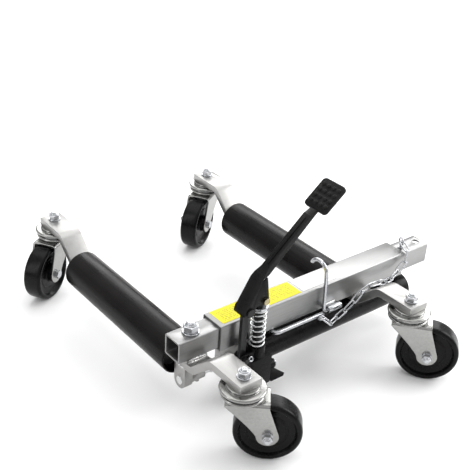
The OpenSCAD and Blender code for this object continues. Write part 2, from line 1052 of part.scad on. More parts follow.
module kingpin() {
    washer_h = 2.5;
    nut_h = 9;
    head_h = 7;
    fork_bottom = fork_top - fork_sheet;
    union() {
        rod_z(kingpin_r, fork_bottom - 0.5, plate_top + washer_h + nut_h + 5);
        rod_z(12, plate_top, plate_top + washer_h);
        translate([0, 0, plate_top + washer_h])
            hex(19, nut_h);
        rod_z(8.2, plate_top + washer_h + nut_h, plate_top + washer_h + nut_h + 2.5);
        translate([0, 0, fork_bottom - 0.5 - head_h])
            hex(19, head_h);
    }
}

module left_kingpins() {
    color("silver") framed() {
        place(near_left)
            kingpin();
        place(far_left)
            kingpin();
    }
}

module right_kingpins() {
    color("silver") framed() {
        place(near_right)
            kingpin();
        place(far_right)
            kingpin();
    }
}

// Broad leg of a fork, narrowing to a round end on the axle
module fork_leg() {
    axle = [caster_trail, wheel_r];
    front = [fork_front, fork_front_z];
    rear = [fork_rear, fork_rear_z];
    rotate([90, 0, 0])
        linear_extrude(fork_sheet, center = true)
            difference() {
                union() {
                    polygon([
                        front, [fork_front, fork_top], [fork_rear, fork_top], rear,
                        touch(rear, axle, fork_end_r, -1), axle, touch(front, axle, fork_end_r, 1)
                    ]);
                    translate(axle)
                        circle(r = fork_end_r);
                }
                translate(axle)
                    circle(r = axle_r);
            }
}

module fork() {
    half = fork_gap / 2 + fork_sheet;
    difference() {
        union() {
            rod_z(swivel_r, swivel_z, swivel_z + swivel_h - 3);
            rod_z(swivel_r - 4, swivel_z, swivel_z + swivel_h);
            translate([fork_front, -half, fork_top - fork_sheet])
                cube([fork_rear - fork_front, 2 * half, fork_sheet]);
            for (side = [-1, 1])
                translate([0, side * (fork_gap + fork_sheet) / 2, 0])
                    fork_leg();
        }
        rod_z(kingpin_r + run, fork_top - fork_sheet - cut, race_z + cut);
    }
}

// Axle bolt: head on one side, nut and thread end on the other
module axle_bolt() {
    leg_face = fork_gap / 2 + fork_sheet;
    head_h = 7;
    nut_h = 9;
    translate([caster_trail, 0, wheel_r])
        union() {
            rod_y(axle_r, -leg_face - nut_h - 5, leg_face);
            translate([0, leg_face, 0])
                rotate([-90, 0, 0])
                    hex(axle_flats, head_h);
            translate([0, -leg_face, 0])
                rotate([90, 0, 0])
                    hex(axle_flats, nut_h);
            rod_y(axle_washer_r, -leg_face - 1.5, -leg_face);
        }
}

// Solid wheel: rounded tread, recessed disc, raised hub
module wheel_profile() {
    half = wheel_width / 2;
    union() {
        translate([bush_r, -half - 1.5])
            square([10, wheel_width + 3]);
        translate([bush_r, -half + 7])
            square([wheel_r - bush_r - 10, wheel_width - 14]);
        translate([wheel_r - 16, -half])
            square([16 - wheel_round, wheel_width]);
        translate([wheel_r - 16, -half + wheel_round])
            square([16, wheel_width - 2 * wheel_round]);
        for (side = [-1, 1])
            translate([wheel_r - wheel_round, side * (half - wheel_round)])
                circle(r = wheel_round, $fn = 32);
    }
}

module wheel() {
    translate([caster_trail, 0, wheel_r])
        rotate([90, 0, 0])
            rotate_extrude($fn = 96)
                wheel_profile();
}

module wheel_bush() {
    translate([caster_trail, 0, wheel_r])
        difference() {
            rod_y(bush_r, -wheel_width / 2 - 2.5, wheel_width / 2 + 2.5);
            rod_y(axle_r + run, -wheel_width, wheel_width);
        }
}

module near_left_fork() {
    color("gainsboro") framed()
        place(near_left)
            fork();
}

module near_left_axle() {
    color("silver") framed()
        place(near_left)
            axle_bolt();
}

module near_left_wheel() {
    color([0.06, 0.06, 0.06]) framed()
        place(near_left)
            wheel();
}

module near_left_bush() {
    color("darkgray") framed()
        place(near_left)
            wheel_bush();
}

module near_right_fork() {
    color("gainsboro") framed()
        place(near_right)
            fork();
}

module near_right_axle() {
    color("silver") framed()
        place(near_right)
            axle_bolt();
}

module near_right_wheel() {
    color([0.06, 0.06, 0.06]) framed()
        place(near_right)
            wheel();
}

module near_right_bush() {
    color("darkgray") framed()
        place(near_right)
            wheel_bush();
}

module far_left_fork() {
    color("gainsboro") framed()
        place(far_left)
            fork();
}

module far_left_axle() {
    color("silver") framed()
        place(far_left)
            axle_bolt();
}

module far_left_wheel() {
    color([0.06, 0.06, 0.06]) framed()
        place(far_left)
            wheel();
}

module far_left_bush() {
    color("darkgray") framed()
        place(far_left)
            wheel_bush();
}

module far_right_fork() {
    color("gainsboro") framed()
        place(far_right)
            fork();
}

module far_right_axle() {
    color("silver") framed()
        place(far_right)
            axle_bolt();
}

module far_right_wheel() {
    color([0.06, 0.06, 0.06]) framed()
        place(far_right)
            wheel();
}

module far_right_bush() {
    color("darkgray") framed()
        place(far_right)
            wheel_bush();
}

outer_tube();
inner_tube();
clamp_stud();
clamp_nut();
beam_spacer();
left_axle_bar();
right_axle_bar();
left_roller();
right_roller();
left_roller_bushes();
right_roller_bushes();
cylinder_barrel();
cylinder_cap();
pump_block();
flange_plate();
gland_seal();
piston_rod();
piston();
rod_coupling();
rod_lug();
link_bar();
link_pins();
link_cotter();
plunger();
plunger_spring();
spring_cap();
plunger_pin();
pedal_arm();
pedal_pad();
release_spindle();
release_pedal();
hook_sleeve();
guide_rod();
pedal_hook();
split_pin();
chain();
lock_pin();
lock_ring();
yellow_label();
white_label();
left_caster_races();
right_caster_races();
left_kingpins();
right_kingpins();
near_left_fork();
near_left_axle();
near_left_wheel();
near_left_bush();
near_right_fork();
near_right_axle();
near_right_wheel();
near_right_bush();
far_left_fork();
far_left_axle();
far_left_wheel();
far_left_bush();
far_right_fork();
far_right_axle();
far_right_wheel();
far_right_bush();
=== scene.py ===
import json
import math
import random
from collections import namedtuple

import bmesh
import bpy
import numpy as np
from mathutils import Matrix, Vector

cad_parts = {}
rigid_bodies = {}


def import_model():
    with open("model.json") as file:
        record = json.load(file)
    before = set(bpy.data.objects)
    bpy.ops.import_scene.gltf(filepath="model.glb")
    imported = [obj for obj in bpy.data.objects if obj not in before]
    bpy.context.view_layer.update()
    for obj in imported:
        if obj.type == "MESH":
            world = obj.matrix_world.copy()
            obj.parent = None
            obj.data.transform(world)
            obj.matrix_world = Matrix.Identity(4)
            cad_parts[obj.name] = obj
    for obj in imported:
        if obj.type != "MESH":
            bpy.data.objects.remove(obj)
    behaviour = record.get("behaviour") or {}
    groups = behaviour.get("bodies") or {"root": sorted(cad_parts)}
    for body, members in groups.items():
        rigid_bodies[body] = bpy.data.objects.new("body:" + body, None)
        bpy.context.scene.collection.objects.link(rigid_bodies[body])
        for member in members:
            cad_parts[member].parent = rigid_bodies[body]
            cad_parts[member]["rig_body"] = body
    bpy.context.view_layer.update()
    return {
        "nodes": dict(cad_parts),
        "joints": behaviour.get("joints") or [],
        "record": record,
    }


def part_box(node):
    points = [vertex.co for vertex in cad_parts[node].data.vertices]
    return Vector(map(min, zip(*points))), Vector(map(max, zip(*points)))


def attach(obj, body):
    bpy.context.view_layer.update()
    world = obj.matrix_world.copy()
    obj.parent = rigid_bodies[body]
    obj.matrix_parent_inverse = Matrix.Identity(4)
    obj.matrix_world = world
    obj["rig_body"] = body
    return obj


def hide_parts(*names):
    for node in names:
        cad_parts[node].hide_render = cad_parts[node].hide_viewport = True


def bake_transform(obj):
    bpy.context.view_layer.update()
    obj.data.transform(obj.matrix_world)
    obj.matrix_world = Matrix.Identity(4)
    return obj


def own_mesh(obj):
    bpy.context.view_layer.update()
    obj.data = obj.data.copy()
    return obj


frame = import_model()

dice = random.Random(7)
JOINTS = {j["name"]: j for j in frame["joints"]}
MM = 0.001

# The CAD drawing is in millimetres. Its x starts at the left roller's axis, and that roller's tube starts
# at this y, so the roller's box gives the drawing's origin in the row frame.
ROLLER_START = 27
roller_low, roller_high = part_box("left_roller")
ORIGIN = Vector(((roller_low.x + roller_high.x) / 2, roller_low.y - ROLLER_START * MM, 0))

MERGE_DISTANCE, TINY_EDGE = 2e-6, 1e-6  # metres, below every real distance between two points
SHARP = 32  # degrees; a sharper edge is shaded as an edge


def spot(x, y, z):
    """A place of the CAD drawing, in millimetres there, as a point of the row frame."""
    return ORIGIN + Vector((x, y, z)) * MM


# ---------------------------------------------------------------- materials


def add(tree, kind, inputs=None, **settings):
    """One shader node; an input is a value, or the socket it is linked from."""
    made = tree.nodes.new(kind)
    for key, value in settings.items():
        setattr(made, key, value)
    for key, value in (inputs or {}).items():
        if isinstance(value, bpy.types.NodeSocket):
            tree.links.new(value, made.inputs[key])
        else:
            made.inputs[key].default_value = value
    return made


def spread(tree, value, low, high, to_low=0.0, to_high=1.0):
    """The value between low and high, carried over to to_low and to_high."""
    made = add(tree, "ShaderNodeMapRange",
               {"Value": value, "From Min": low, "From Max": high, "To Min": to_low, "To Max": to_high})
    return made.outputs["Result"]


def blended(tree, factor, first, second):
    """A colour between first and second; each input is a value or a socket."""
    mix = add(tree, "ShaderNodeMix", data_type="RGBA")
    for index, value in ((0, factor), (6, first), (7, second)):
        if isinstance(value, bpy.types.NodeSocket):
            tree.links.new(value, mix.inputs[index])
        else:
            mix.inputs[index].default_value = value if index == 0 else (*value, 1)
    return mix.outputs[2]


# Low and high of the values that a look's colours and roughness are spread over
TONE = (0.72, 1.28)  # sum of the cloud and grain noises, for the colour
WEAR = (0.8, 1.2)  # the same sum, for patches in the rubbed edges
GLOSS = (0.38, 0.62)  # half of that sum, for the roughness
RUBBED = (0.985, 0.86)  # cosine between the rounded and the true normal, from flat face to edge


def finish(name, dark, light, rough, metallic=0.0, cloud=30.0, grain=(400, 400, 400), depth=0.05,
           edge=0.0008, worn=None, wear=0.5, specular=0.5):
    """A worn surface: cloudy tone, fine grain in the bump and roughness, and rubbed edges.

    cloud and grain are noise scales per metre, depth is the bump's strength, edge the radius that a
    sharp edge is shaded with, worn the colour of a rubbed edge and wear how much of it shows.
    """
    material = bpy.data.materials.new("look_" + name)
    material.use_nodes = True
    tree = material.node_tree
    shader = tree.nodes["Principled BSDF"]
    shader.inputs["Metallic"].default_value = metallic
    shader.inputs["Specular IOR Level"].default_value = specular
    place = add(tree, "ShaderNodeTexCoord").outputs["Object"]
    clouds = add(tree, "ShaderNodeTexNoise",
                 {"Vector": place, "Scale": cloud, "Detail": 5.0, "Roughness": 0.6})
    stretched = add(tree, "ShaderNodeMapping", {"Vector": place, "Scale": grain})
    lines = add(tree, "ShaderNodeTexNoise",
                {"Vector": stretched.outputs["Vector"], "Scale": 1.0, "Detail": 6.0, "Roughness": 0.7})
    both = add(tree, "ShaderNodeMath", {0: clouds.outputs["Fac"], 1: lines.outputs["Fac"]}, operation="ADD")
    colour = blended(tree, spread(tree, both.outputs[0], *TONE), dark, light)
    rounded = add(tree, "ShaderNodeBevel", {"Radius": edge}, samples=4)
    if worn:
        flat = add(tree, "ShaderNodeNewGeometry")
        facing = add(tree, "ShaderNodeVectorMath",
                     {0: rounded.outputs["Normal"], 1: flat.outputs["Normal"]}, operation="DOT_PRODUCT")
        rubbed = add(tree, "ShaderNodeMath",
                     {0: spread(tree, facing.outputs["Value"], *RUBBED),
                      1: spread(tree, both.outputs[0], *WEAR, 0, wear)}, operation="MULTIPLY", use_clamp=True)
        colour = blended(tree, rubbed.outputs[0], colour, worn)
    tree.links.new(colour, shader.inputs["Base Color"])
    gloss = add(tree, "ShaderNodeMath", {0: both.outputs[0], 1: 0.5}, operation="MULTIPLY")
    tree.links.new(spread(tree, gloss.outputs[0], *GLOSS, *rough), shader.inputs["Roughness"])
    bump = add(tree, "ShaderNodeBump", {"Height": lines.outputs["Fac"], "Normal": rounded.outputs["Normal"],
                                        "Strength": depth, "Distance": 0.001})
    tree.links.new(bump.outputs["Normal"], shader.inputs["Normal"])
    return material


GROUND_SHADE = 0.93  # the label's darker patches against its ground colour
ROW_OFFSET = 3.7  # how far the dashes' pattern moves on from row to row
ROW_FILL, DASH_GAP = 0.5, 0.47  # share of a row's height that is inked, and noise level where a gap ends
LABEL_MARGINS = (("X", 0.008), ("Y", 0.005))  # metres without ink at the edges


def printed(name, ground, ink, rows, words):
    """A vinyl label: its ground colour with rows of plain dashes; rows and words are counts per metre."""
    material = finish(name, [c * GROUND_SHADE for c in ground], ground, (0.3, 0.42), cloud=45.0, depth=0.03,
                      specular=0.15)
    tree = material.node_tree
    shader = tree.nodes["Principled BSDF"]

    def maths(operation, *values):
        """The output of one Math node."""
        return add(tree, "ShaderNodeMath", dict(enumerate(values)), operation=operation).outputs[0]

    place = add(tree, "ShaderNodeTexCoord").outputs["Object"]
    part = add(tree, "ShaderNodeSeparateXYZ", {"Vector": place})
    low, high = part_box(name + "_label")
    lines = maths("MULTIPLY", part.outputs["Y"], rows)
    shift = maths("MULTIPLY", maths("FLOOR", lines), ROW_OFFSET)
    run = maths("MULTIPLY_ADD", part.outputs["X"], words, shift)
    gaps = add(tree, "ShaderNodeTexNoise", {"W": run, "Scale": 1.0, "Detail": 1.0}, noise_dimensions="1D")
    mask = maths("LESS_THAN", maths("FRACT", lines), ROW_FILL)
    mask = maths("MULTIPLY", mask, maths("GREATER_THAN", gaps.outputs[0], DASH_GAP))
    for axis, margin in LABEL_MARGINS:
        near, far = getattr(low, axis.lower()), getattr(high, axis.lower())
        away = maths("ABSOLUTE", maths("SUBTRACT", part.outputs[axis], (near + far) / 2))
        mask = maths("MULTIPLY", mask, maths("LESS_THAN", away, (far - near) / 2 - margin))
    old = shader.inputs["Base Color"].links[0].from_socket
    tree.links.new(blended(tree, mask, old, ink), shader.inputs["Base Color"])
    return material


BRIGHT = (0.86, 0.87, 0.88)  # bare metal on rubbed edges
ALONG_X, ALONG_Y, ALONG_Z = (7, 420, 420), (420, 7, 420), (420, 420, 7)  # drawn and rolled grain
beam_zinc = finish("beam_zinc", (0.250, 0.250, 0.248), (0.330, 0.330, 0.328), (0.30, 0.42), 1.0, 9.0,
                   ALONG_X, 0.02, worn=BRIGHT, wear=0.5)
bar_zinc = finish("bar_zinc", (0.310, 0.308, 0.302), (0.410, 0.406, 0.398), (0.32, 0.46), 1.0, 12.0,
                  ALONG_Y, 0.02, worn=BRIGHT, wear=0.5)
fastener_zinc = finish("fastener_zinc", (0.36, 0.37, 0.385), (0.60, 0.61, 0.63), (0.15, 0.28), 1.0, 60.0,
                       (700, 700, 700), 0.015, 0.0004, BRIGHT, 0.5)
caster_zinc = finish("caster_zinc", (0.270, 0.270, 0.262), (0.370, 0.370, 0.360), (0.16, 0.28), 1.0, 18.0,
                     (220, 220, 220), 0.015, 0.0006, BRIGHT, 0.5)
weld_steel = finish("weld_steel", (0.46, 0.46, 0.46), (0.82, 0.82, 0.81), (0.16, 0.34), 1.0, 160.0,
                    (900, 900, 900), 0.05)
roller_black = finish("roller_black", (0.0030, 0.0024, 0.0024), (0.0070, 0.0058, 0.0056), (0.22, 0.38), 0.0,
                      12.0, (150, 3, 150), 0.35, worn=(0.05, 0.05, 0.05), wear=0.5, specular=0.13)
pump_black = finish("pump_black", (0.0022, 0.0022, 0.0023), (0.0055, 0.0055, 0.0058), (0.22, 0.38), 0.0, 40.0,
                    (260, 260, 260), 0.25, worn=(0.07, 0.07, 0.07), wear=0.6, specular=0.13)
pedal_black = finish("pedal_black", (0.0022, 0.0022, 0.0022), (0.0055, 0.0053, 0.0052), (0.24, 0.40), 0.0,
                     50.0, (420, 420, 420), 0.4, worn=(0.08, 0.08, 0.08), wear=0.6, specular=0.13)
wheel_black = finish("wheel_black", (0.0022, 0.0022, 0.0023), (0.0050, 0.0050, 0.0052), (0.18, 0.32), 0.0,
                     40.0, (300, 300, 300), 0.08, worn=(0.04, 0.04, 0.042), wear=0.4, specular=0.13)
link_black = finish("link_black", (0.006, 0.006, 0.0065), (0.014, 0.014, 0.015), (0.26, 0.40), 0.0, 40.0,
                    ALONG_Z, 0.15, worn=(0.1, 0.1, 0.1), wear=0.7, specular=0.25)
nylon = finish("nylon", (0.030, 0.030, 0.030), (0.055, 0.055, 0.053), (0.42, 0.58), 0.0, 60.0,
               (500, 500, 500), 0.1)
bush_steel = finish("bush_steel", (0.30, 0.30, 0.31), (0.52, 0.52, 0.52), (0.22, 0.36), 1.0, 80.0,
                    (700, 700, 700), 0.05)
rod_chrome = finish("rod_chrome", (0.66, 0.67, 0.68), (0.80, 0.80, 0.80), (0.06, 0.14), 1.0, 50.0,
                    ALONG_X, 0.02)
seal_brown = finish("seal_brown", (0.10, 0.045, 0.02), (0.18, 0.08, 0.03), (0.4, 0.55), 0.0, 60.0)
bronze = finish("bronze", (0.42, 0.26, 0.10), (0.62, 0.40, 0.17), (0.2, 0.36), 1.0, 60.0)
yellow_zinc = finish("yellow_zinc", (0.26, 0.22, 0.12), (0.46, 0.40, 0.25), (0.18, 0.32), 1.0, 90.0,
                     (500, 500, 500), 0.05, 0.0005, BRIGHT, 0.4)
spring_steel = finish("spring_steel", (0.55, 0.56, 0.56), (0.78, 0.79, 0.80), (0.14, 0.26), 1.0, 120.0,
                      (600, 600, 600), 0.05, 0.0003)
yellow_vinyl = printed("yellow", (0.74, 0.65, 0.003), (0.36, 0.32, 0.01), 230, 260)
white_vinyl = printed("white", (0.70, 0.70, 0.69), (0.40, 0.40, 0.41), 300, 300)

LOOKS = {
    beam_zinc: "outer_tube inner_tube",
    bar_zinc: "beam_spacer left_axle_bar right_axle_bar flange_plate rod_lug rod_coupling",
    fastener_zinc: "clamp_stud clamp_nut link_cotter release_spindle hook_sleeve guide_rod pedal_hook"
    " split_pin chain lock_pin lock_ring left_kingpins right_kingpins spring_cap near_left_axle"
    " near_right_axle far_left_axle far_right_axle",
    caster_zinc: "left_caster_races right_caster_races near_left_fork near_right_fork far_left_fork"
    " far_right_fork",
    roller_black: "left_roller right_roller",
    pump_black: "cylinder_barrel cylinder_cap pump_block",
    pedal_black: "pedal_arm pedal_pad release_pedal",
    wheel_black: "near_left_wheel near_right_wheel far_left_wheel far_right_wheel",
    link_black: "link_bar link_pins plunger",
    nylon: "left_roller_bushes right_roller_bushes",
    bush_steel: "near_left_bush near_right_bush far_left_bush far_right_bush",
    rod_chrome: "piston_rod",
    seal_brown: "gland_seal",
    bronze: "piston",
    yellow_zinc: "plunger_pin",
    spring_steel: "plunger_spring",
    yellow_vinyl: "yellow_label",
    white_vinyl: "white_label",
}
LOOK_OF = {name: look for look, names in LOOKS.items() for name in names.split()}
for name, look in LOOK_OF.items():
    for held in frame["nodes"][name].material_slots:
        held.material = look

BODY_OF = {n: body for body, names in frame["record"]["behaviour"]["bodies"].items() for n in names}

# ---------------------------------------------------------------- making pieces


def piece(name, shape, body, look, stands_for=(), place=None, sharp=SHARP):
    """A mesh from (points, faces), placed, shaded and riding on its body."""
    points, faces = shape
    place = place or Matrix.Identity(4)
    mesh = bpy.data.meshes.new(name)
    mesh.from_pydata([place @ Vector(p) for p in points], [], faces)
    shaped = bmesh.new()
    shaped.from_mesh(mesh)
    bmesh.ops.remove_doubles(shaped, verts=shaped.verts, dist=MERGE_DISTANCE)
    bmesh.ops.dissolve_degenerate(shaped, edges=shaped.edges, dist=TINY_EDGE)
    bmesh.ops.recalc_face_normals(shaped, faces=shaped.faces)
    return shown(name, mesh, shaped, body, look, stands_for, sharp)


def shown(name, mesh, shaped, body, look, stands_for, sharp):
    """The edited shape as an object of the scene, smooth except over edges of more than sharp degrees."""
    shaped.to_mesh(mesh)
    shaped.free()
    for face in mesh.polygons:
        face.use_smooth = True
    mesh.set_sharp_from_angle(angle=math.radians(sharp))
    mesh.materials.append(look)
    made = bpy.data.objects.new(name, mesh)
    bpy.context.scene.collection.objects.link(made)
    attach(made, body)
    if stands_for:
        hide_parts(*stands_for)
    return made


COPLANAR = 0.5  # degrees between faces that are drawn as one
ROUNDED_ANGLE = 40  # degrees; sharper edges are rounded
LONG_ANGLE, LONG_SEGMENTS = 60, 4


def round_edges(shaped, width, segments, angle, longer_than=0.0):
    """Bevels the edges that are over angle degrees and longer than longer_than."""
    edges = [e for e in shaped.edges
             if len(e.link_faces) == 2 and e.calc_face_angle(0) > math.radians(angle)
             and e.calc_length() > longer_than]
    if edges:
        bmesh.ops.bevel(shaped, geom=edges, offset=width, offset_type="OFFSET", segments=segments,
                        profile=0.5, affect="EDGES", clamp_overlap=True, loop_slide=True)


def softened(node, width, segments=2, long_width=0.0, long_length=0.1):
    """The CAD node's shape with its sharp edges rounded, standing for that node.

    long_width is the wider rounding of a tube's edges, for those over long_length.
    """
    drawn = frame["nodes"][node].data.copy()
    drawn.materials.clear()  # every face goes to the first slot, for the one look
    shaped = bmesh.new()
    shaped.from_mesh(drawn)
    bpy.data.meshes.remove(drawn)
    bmesh.ops.remove_doubles(shaped, verts=shaped.verts, dist=MERGE_DISTANCE)
    bmesh.ops.dissolve_limit(shaped, angle_limit=math.radians(COPLANAR), verts=shaped.verts,
                             edges=shaped.edges)
    if long_width:
        round_edges(shaped, long_width, LONG_SEGMENTS, LONG_ANGLE, long_length)
    round_edges(shaped, width, segments, ROUNDED_ANGLE)
    mesh = bpy.data.meshes.new(node + "_drawn")
    return shown(node + "_drawn", mesh, shaped, BODY_OF[node], LOOK_OF[node], (node,), SHARP)


def turned_faces(count, steps, closed=True):
    """Faces between profiles of count points, repeated in steps round an axis."""
    return [(i * count + k, (i + 1) % steps * count + k, (i + 1) % steps * count + (k + 1) % count,
             i * count + (k + 1) % count)
            for i in range(steps) for k in range(count if closed else count - 1)]


def lathe(profile, steps=64, closed=True):
    """Points (radius, height) turned about Z; a closed profile makes a solid ring."""
    points = [(r * math.cos(a), r * math.sin(a), z)
              for a in (2 * math.pi * i / steps for i in range(steps)) for r, z in profile]
    return points, turned_faces(len(profile), steps, closed)


def arc(r, z, radius, start, end, steps=6):
    """Profile points on an arc, angles in degrees."""
    angles = [math.radians(start + (end - start) * i / steps) for i in range(steps + 1)]
    return [(r + radius * math.cos(a), z + radius * math.sin(a)) for a in angles]


def grid(rings, around):
    """Faces of rings of points, each ring closed on itself, with a cap at both ends."""
    points = [p for ring in rings for p in ring]
    faces = [(i * around + k, i * around + (k + 1) % around, (i + 1) * around + (k + 1) % around,
              (i + 1) * around + k)
             for i in range(len(rings) - 1) for k in range(around)]
    faces += [tuple(range(around)), tuple((len(rings) - 1) * around + k for k in range(around))]
    return points, faces


def hex_nut(flats, height, hole, steps=72):
    """A hexagon nut with turned chamfers; millimetres, standing on z = 0."""
    flat = flats / 2
    face_r = flat * 0.97
    slope = 0.55
    rings = []
    for i in range(steps):
        a = 2 * math.pi * i / steps
        out = flat / math.cos((a % (math.pi / 3)) - math.pi / 6)
        drop = (out - face_r) * slope
        rings.append([(r * math.cos(a), r * math.sin(a), z) for r, z in (
            (hole, height - 0.5), (hole + 0.7, height), (face_r, height), (out, height - drop),
            (out, drop), (face_r, 0), (hole, 0))])
    return [p for ring in rings for p in ring], turned_faces(len(rings[0]), steps)


THREAD_PITCH, THREAD_DEPTH, THREAD_CHAMFER, THREAD_AROUND = 1.5, 0.75, 1.2, 40


def thread(radius, low, high):
    """A screw thread's surface with a chamfered tip and a slightly domed end, in millimetres."""
    circle = [2 * math.pi * k / THREAD_AROUND for k in range(THREAD_AROUND)]
    rows = max(4, int((high - low) / THREAD_PITCH * 6))
    rings = []
    for i in range(rows + 1):
        z = low + (high - low) * i / rows
        chamfer = max(0.0, 1 - (high - z) / THREAD_CHAMFER)
        ring = []
        for k, a in enumerate(circle):
            turn = (z / THREAD_PITCH - k / THREAD_AROUND) % 1
            r = radius - THREAD_DEPTH * abs(2 * turn - 1) - chamfer
            ring.append((r * math.cos(a), r * math.sin(a), z))
        rings.append(ring)
    for r, rise in ((radius * 0.6, 0.12), (0.3, 0.2)):
        rings.append([(r * math.cos(a), r * math.sin(a), high + rise) for a in circle])
    return grid(rings, THREAD_AROUND)


def scaled(shape):
    """A shape drawn in millimetres, in metres."""
    return [tuple(c * MM for c in p) for p in shape[0]], shape[1]


def joined(*shapes):
    """Several shapes as one."""
    points, faces = [], []
    for p, f in shapes:
        faces += [tuple(i + len(points) for i in face) for face in f]
        points += p
    return points, faces


def moved(shape, matrix):
    """A shape carried to another place."""
    return [tuple(matrix @ Vector(p)) for p in shape[0]], shape[1]


ROUND = 12  # sides of a bar drawn along a path


def tube(path, radii, closed=False):
    """A round bar along a path of points, with one radius per point."""
    path = [Vector(p) for p in path]
    count = len(path)
    rings, side = [], None
    for i, here in enumerate(path):
        before = path[i - 1] if i or closed else here
        after = path[(i + 1) % count] if i < count - 1 or closed else here
        ahead = (after - before).normalized()
        if side is None:
            side = ahead.orthogonal().normalized()
        side = (side - ahead * side.dot(ahead)).normalized()
        up = ahead.cross(side)
        rings.append([tuple(here + (side * math.cos(a) + up * math.sin(a)) * radii[i])
                      for a in (2 * math.pi * k / ROUND for k in range(ROUND))])
    if not closed:
        return grid(rings, ROUND)
    points = [p for ring in rings for p in ring]
    # the frame turns a little round a closed path, so the last ring joins the nearest points
    shift = min(range(ROUND), key=lambda s: (Vector(rings[-1][0]) - Vector(rings[0][s])).length)
    faces = []
    for i in range(count):
        for k in range(ROUND):
            n = (k + 1) % ROUND
            if i < count - 1:
                faces.append((i * ROUND + k, i * ROUND + n, (i + 1) * ROUND + n, (i + 1) * ROUND + k))
            else:
                faces.append((i * ROUND + k, i * ROUND + n, (n + shift) % ROUND, (k + shift) % ROUND))
    return points, faces


BEAD_STEP, RIPPLE, WANDER = 0.0007, 0.0032, 0.00018  # metres
BEAD_LOW, BEAD_WAVE, BEAD_NOISE = 0.82, 0.22, 0.05  # shares of the bead's radius
FADE_START, FADE_RATE = 0.25, 6


def weld(name, start, end, radius, body):
    """A rippled weld bead between two places of the drawing."""
    a, b = spot(*start), spot(*end)
    length = (b - a).length
    steps = max(12, int(length / BEAD_STEP))
    path, radii = [], []
    for i in range(steps + 1):
        t = i / steps
        ripple = abs(math.sin(math.pi * t * length / RIPPLE))
        fade = min(1.0, FADE_RATE * t + FADE_START, FADE_RATE * (1 - t) + FADE_START)
        noise = dice.uniform(-BEAD_NOISE, BEAD_NOISE)
        radii.append(radius * MM * fade * (BEAD_LOW + BEAD_WAVE * ripple + noise))
        shake = Vector((dice.uniform(-1, 1), dice.uniform(-1, 1), dice.uniform(-1, 1)))
        path.append(a + (b - a) * t + shake * WANDER)
    return piece(name, tube(path, radii), body, weld_steel, sharp=70)


# ---------------------------------------------------------------- beam, bars and rollers

softened("outer_tube", 0.0005, long_width=0.0028, long_length=0.2)
softened("inner_tube", 0.0004, long_width=0.0022, long_length=0.2)
# Width in metres and segments of the rounding of the other CAD shapes
ROUNDINGS = (
    (0.0012, 3, "left_axle_bar right_axle_bar"),
    (0.0009, 2, "beam_spacer flange_plate rod_lug"),
    (0.0006, 2, "link_bar hook_sleeve plunger rod_coupling"),
    (0.0010, 3, "pump_block cylinder_cap release_pedal"),
    (0.0007, 2, "pedal_arm"),
    (0.0006, 2, "pedal_pad"),
)
for width, segments, nodes in ROUNDINGS:
    for node in nodes.split():
        softened(node, width, segments)

TURN_TO_Y = Matrix.Rotation(math.radians(-90), 4, "X")
ROLLER_WALL, ROLLER_LIP, ROLLER_CHAMFER = 0.0035, 0.0022, 0.0008
for side in ("left", "right"):
    low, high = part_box(side + "_roller")
    axis = Vector(((low.x + high.x) / 2, low.y, (low.z + high.z) / 2))
    outer, length = (high.x - low.x) / 2, high.y - low.y
    inner = outer - ROLLER_WALL
    profile = (arc(outer - ROLLER_LIP, ROLLER_LIP, ROLLER_LIP, -90, 0)
               + [(outer, length * s / 6) for s in range(1, 6)]
               + arc(outer - ROLLER_LIP, length - ROLLER_LIP, ROLLER_LIP, 0, 90)
               + [(inner, length - ROLLER_CHAMFER), (inner, ROLLER_CHAMFER)])
    piece(side + "_roller_tube", lathe(profile, 128), side + "_roller", roller_black, (side + "_roller",),
          Matrix.Translation(axis) @ TURN_TO_Y, sharp=50)

# Weld beads along the joints that show: start and end in the drawing, radius, body
BEADS = (
    ("spacer_low_near", (-20, -20.8, 109.6), (21, -20.8, 109.6), 2.6, "slider"),
    ("spacer_high_near", (-18, -21.0, 114.4), (20, -21.0, 114.4), 2.8, "slider"),
    ("spacer_low_far", (-20, 20.2, 110.0), (21, 20.2, 110.0), 2.0, "slider"),
    ("spacer_high_far", (-18, 20.4, 114.6), (20, 20.4, 114.6), 1.8, "slider"),
    ("lug_left", (-20.8, -13.5, 95.2), (-20.8, 13.5, 95.2), 1.8, "slider"),
    ("lug_right", (-2.6, -13.5, 95.2), (-2.6, 13.5, 95.2), 1.8, "slider"),
    ("right_bar_near", (362, -25.2, 109.6), (400, -25.2, 109.6), 2.2, "beam"),
    ("right_bar_far", (362, 25.2, 109.6), (400, 25.2, 109.6), 2.2, "beam"),
    ("flange_left", (76.9, -24, 109.3), (76.9, 24, 109.3), 2.2, "beam"),
    ("flange_right", (88.3, -24, 109.3), (88.3, 24, 109.3), 2.2, "beam"),
    ("sleeve_high", (282, -26.0, 117.8), (310, -26.0, 117.8), 1.6, "beam"),
    ("sleeve_low", (282, -26.0, 109.3), (310, -26.0, 109.3), 1.6, "beam"),
)
for name, start, end, radius, body in BEADS:
    weld("weld_" + name, start, end, radius, body)

# ---------------------------------------------------------------- fasteners

Nut = namedtuple("Nut", "bolt flats height bore washer washer_height washer_steps"
                 " sleeve collar rounding shoulder mouth inset collar_steps")
